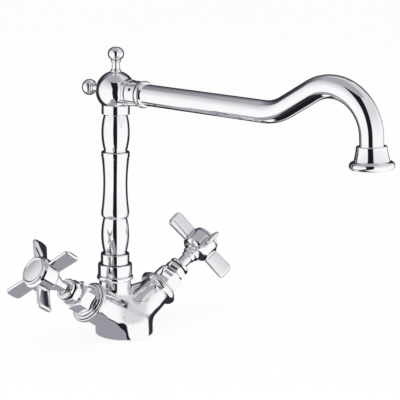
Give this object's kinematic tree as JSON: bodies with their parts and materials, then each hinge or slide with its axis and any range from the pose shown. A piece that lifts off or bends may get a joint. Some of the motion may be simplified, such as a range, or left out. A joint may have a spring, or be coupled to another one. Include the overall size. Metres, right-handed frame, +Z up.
{
  "type": "kitchen mixer tap",
  "caption": "Deck-mounted chrome kitchen mixer tap with cross handles on rising arms, a turned column that swivels, ball finials and a bent spout ending in a bell nozzle.",
  "frame": {"origin": "centre of the round foot on the deck plane", "axes": "+Z up out of the deck, +X along the cold arm, -X along the hot arm, -Y to the front, where the spout reaches"},
  "size_m": [0.2121, 0.3075, 0.2483],
  "materials": {
    "chrome": "polished",
    "cap_chrome": "polished",
    "steel": "satin",
    "dark_steel": "blackened",
    "rubber": "matte",
    "acetal": "matte",
    "ptfe": "matte",
    "ceramic": "polished"
  },
  "bodies": {
    "body": {"mixer_body": "chrome", "base_seal": "rubber", "trim_ring": "chrome", "swivel_nut": "chrome", "bearing_washer": "acetal", "hot_flange": "chrome", "hot_bonnet": "chrome", "hot_packing": "ptfe", "hot_gland": "chrome", "hot_seat_seal": "rubber", "hot_fixed_disc": "ceramic", "hot_thrust_washer": "acetal", "cold_flange": "chrome", "cold_bonnet": "chrome", "cold_packing": "ptfe", "cold_gland": "chrome", "cold_seat_seal": "rubber", "cold_fixed_disc": "ceramic", "cold_thrust_washer": "acetal"},
    "hot_valve": {"hot_moving_disc": "ceramic", "hot_spindle": "chrome", "hot_stem_seal_lower": "rubber", "hot_stem_seal_upper": "rubber", "hot_handle": "chrome", "hot_screw": "steel", "hot_cap": "cap_chrome"},
    "cold_valve": {"cold_moving_disc": "ceramic", "cold_spindle": "chrome", "cold_stem_seal_lower": "rubber", "cold_stem_seal_upper": "rubber", "cold_handle": "chrome", "cold_screw": "steel", "cold_cap": "cap_chrome"},
    "spout": {"column": "chrome", "split_ring": "steel", "column_seal_lower": "rubber", "column_seal_upper": "rubber", "head_ball": "chrome", "top_finial": "chrome", "rear_finial": "chrome", "spout_connector": "chrome", "spout_washer": "rubber", "grub_screw": "dark_steel", "spout_tube": "chrome", "nozzle_bell": "chrome", "aerator_gasket": "rubber", "aerator_cage": "acetal", "aerator_screen": "steel"}
  },
  "joints": [
    {"name": "spout_swivel", "type": "hinge", "parent": "body", "child": "spout", "pos_m": [0, 0.0138, 0.0556], "axis": [0, 0, 1], "continuous": true},
    {"name": "hot_turn", "type": "hinge", "parent": "body", "child": "hot_valve", "pos_m": [0, 0, 0.0093], "axis": [-0.829, 0, 0.5592], "range_deg": [0, 90]},
    {"name": "cold_turn", "type": "hinge", "parent": "body", "child": "cold_valve", "pos_m": [0, 0, 0.0093], "axis": [0.829, 0, 0.5592], "range_deg": [-90, 0]}
  ]
}
